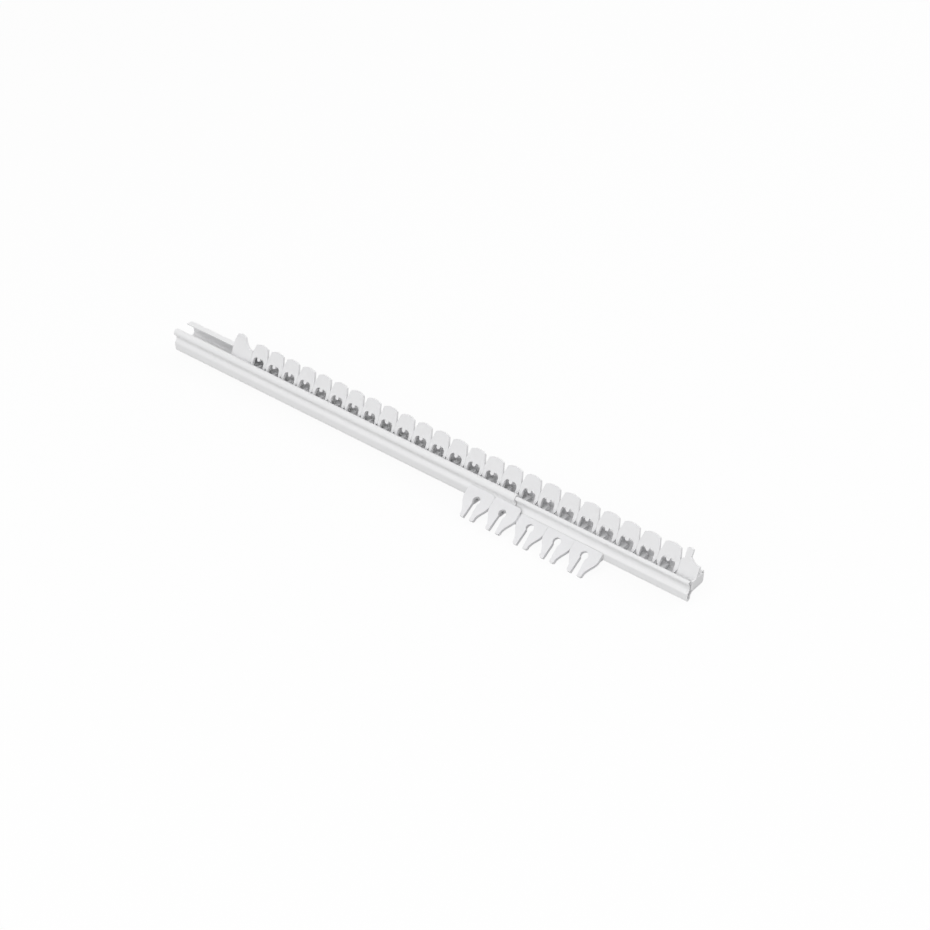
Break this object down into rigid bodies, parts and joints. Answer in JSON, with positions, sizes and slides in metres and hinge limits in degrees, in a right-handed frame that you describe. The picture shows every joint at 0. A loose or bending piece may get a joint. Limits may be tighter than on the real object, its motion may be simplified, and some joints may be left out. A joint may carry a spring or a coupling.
{
  "type": "curtain track",
  "caption": "telescoping curtain track of rolled strip, with a row of arched hook carriers in its channel, stops at the row's ends and keyhole hook plates clipped to its front",
  "frame": {"origin": "middle of the flat underside of the outer section's base", "axes": "+X along the track to its stopped end, +Y to the rear lip, +Z out of the channel's mouth"},
  "size_m": [0.4275, 0.0345, 0.0355],
  "materials": {
    "track": "smooth white stove enamel on rolled strip",
    "carrier": "moulded white plastic, slightly satin",
    "stop": "moulded white plastic, slightly satin",
    "hook_plate": "moulded white plastic, slightly satin"
  },
  "bodies": {
    "outer": {"outer_track": "track"},
    "inner": {"inner_track": "track", "right_end_stop": "stop"},
    "carrier_01": {"carrier_01": "carrier"},
    "carrier_02": {"carrier_02": "carrier"},
    "carrier_03": {"carrier_03": "carrier"},
    "carrier_04": {"carrier_04": "carrier"},
    "carrier_05": {"carrier_05": "carrier"},
    "carrier_06": {"carrier_06": "carrier"},
    "carrier_07": {"carrier_07": "carrier"},
    "carrier_08": {"carrier_08": "carrier"},
    "carrier_09": {"carrier_09": "carrier"},
    "carrier_10": {"carrier_10": "carrier"},
    "carrier_11": {"carrier_11": "carrier"},
    "carrier_12": {"carrier_12": "carrier"},
    "carrier_13": {"carrier_13": "carrier"},
    "carrier_14": {"carrier_14": "carrier"},
    "carrier_15": {"carrier_15": "carrier"},
    "carrier_16": {"carrier_16": "carrier"},
    "carrier_17": {"carrier_17": "carrier"},
    "carrier_18": {"carrier_18": "carrier"},
    "carrier_19": {"carrier_19": "carrier"},
    "carrier_20": {"carrier_20": "carrier"},
    "carrier_21": {"carrier_21": "carrier"},
    "carrier_22": {"carrier_22": "carrier"},
    "carrier_23": {"carrier_23": "carrier"},
    "carrier_24": {"carrier_24": "carrier"},
    "left_stop": {"left_stop": "stop"},
    "hook_plate_1": {"hook_plate_1": "hook_plate"},
    "hook_plate_2": {"hook_plate_2": "hook_plate"},
    "hook_plate_3": {"hook_plate_3": "hook_plate"},
    "hook_plate_4": {"hook_plate_4": "hook_plate"},
    "hook_plate_5": {"hook_plate_5": "hook_plate"}
  },
  "joints": [
    {"name": "extend", "type": "slide", "parent": "outer", "child": "inner", "axis": [1, 0, 0], "range_m": [0, 0.15]},
    {"name": "carrier_24_slide", "type": "slide", "parent": "outer", "child": "carrier_24", "axis": [-1, 0, 0], "range_m": [0, 0.0019]},
    {"name": "carrier_23_slide", "type": "slide", "parent": "carrier_24", "child": "carrier_23", "axis": [-1, 0, 0], "range_m": [0, 0.0019]},
    {"name": "carrier_22_slide", "type": "slide", "parent": "carrier_23", "child": "carrier_22", "axis": [-1, 0, 0], "range_m": [0, 0.0019]},
    {"name": "carrier_21_slide", "type": "slide", "parent": "carrier_22", "child": "carrier_21", "axis": [-1, 0, 0], "range_m": [0, 0.0019]},
    {"name": "carrier_20_slide", "type": "slide", "parent": "carrier_21", "child": "carrier_20", "axis": [-1, 0, 0], "range_m": [0, 0.0019]},
    {"name": "carrier_19_slide", "type": "slide", "parent": "carrier_20", "child": "carrier_19", "axis": [-1, 0, 0], "range_m": [0, 0.0019]},
    {"name": "carrier_18_slide", "type": "slide", "parent": "carrier_19", "child": "carrier_18", "axis": [-1, 0, 0], "range_m": [0, 0.0019]},
    {"name": "carrier_17_slide", "type": "slide", "parent": "carrier_18", "child": "carrier_17", "axis": [-1, 0, 0], "range_m": [0, 0.0019]},
    {"name": "carrier_16_slide", "type": "slide", "parent": "carrier_17", "child": "carrier_16", "axis": [-1, 0, 0], "range_m": [0, 0.0019]},
    {"name": "carrier_15_slide", "type": "slide", "parent": "carrier_16", "child": "carrier_15", "axis": [-1, 0, 0], "range_m": [0, 0.0019]},
    {"name": "carrier_14_slide", "type": "slide", "parent": "carrier_15", "child": "carrier_14", "axis": [-1, 0, 0], "range_m": [0, 0.0019]},
    {"name": "carrier_13_slide", "type": "slide", "parent": "carrier_14", "child": "carrier_13", "axis": [-1, 0, 0], "range_m": [0, 0.0019]},
    {"name": "carrier_12_slide", "type": "slide", "parent": "carrier_13", "child": "carrier_12", "axis": [-1, 0, 0], "range_m": [0, 0.0019]},
    {"name": "carrier_11_slide", "type": "slide", "parent": "carrier_12", "child": "carrier_11", "axis": [-1, 0, 0], "range_m": [0, 0.0019]},
    {"name": "carrier_10_slide", "type": "slide", "parent": "carrier_11", "child": "carrier_10", "axis": [-1, 0, 0], "range_m": [0, 0.0019]},
    {"name": "carrier_09_slide", "type": "slide", "parent": "carrier_10", "child": "carrier_09", "axis": [-1, 0, 0], "range_m": [0, 0.0019]},
    {"name": "carrier_08_slide", "type": "slide", "parent": "carrier_09", "child": "carrier_08", "axis": [-1, 0, 0], "range_m": [0, 0.0019]},
    {"name": "carrier_07_slide", "type": "slide", "parent": "carrier_08", "child": "carrier_07", "axis": [-1, 0, 0], "range_m": [0, 0.0019]},
    {"name": "carrier_06_slide", "type": "slide", "parent": "carrier_07", "child": "carrier_06", "axis": [-1, 0, 0], "range_m": [0, 0.0019]},
    {"name": "carrier_05_slide", "type": "slide", "parent": "carrier_06", "child": "carrier_05", "axis": [-1, 0, 0], "range_m": [0, 0.0019]},
    {"name": "carrier_04_slide", "type": "slide", "parent": "carrier_05", "child": "carrier_04", "axis": [-1, 0, 0], "range_m": [0, 0.0019]},
    {"name": "carrier_03_slide", "type": "slide", "parent": "carrier_04", "child": "carrier_03", "axis": [-1, 0, 0], "range_m": [0, 0.0019]},
    {"name": "carrier_02_slide", "type": "slide", "parent": "carrier_03", "child": "carrier_02", "axis": [-1, 0, 0], "range_m": [0, 0.0019]},
    {"name": "carrier_01_slide", "type": "slide", "parent": "carrier_02", "child": "carrier_01", "axis": [-1, 0, 0], "range_m": [0, 0.0019]},
    {"name": "left_stop_slide", "type": "slide", "parent": "carrier_01", "child": "left_stop", "axis": [-1, 0, 0], "range_m": [0, 0.0019]},
    {"name": "hook_plate_2_slide", "type": "slide", "parent": "outer", "child": "hook_plate_2", "axis": [-1, 0, 0], "range_m": [0, 0.09]},
    {"name": "hook_plate_1_slide", "type": "slide", "parent": "hook_plate_2", "child": "hook_plate_1", "axis": [-1, 0, 0], "range_m": [0, 0.09]},
    {"name": "hook_plate_3_slide", "type": "slide", "parent": "inner", "child": "hook_plate_3", "axis": [1, 0, 0], "range_m": [0, 0.018]},
    {"name": "hook_plate_4_slide", "type": "slide", "parent": "hook_plate_3", "child": "hook_plate_4", "axis": [1, 0, 0], "range_m": [0, 0.018]},
    {"name": "hook_plate_5_slide", "type": "slide", "parent": "hook_plate_4", "child": "hook_plate_5", "axis": [1, 0, 0], "range_m": [0, 0.018]}
  ]
}
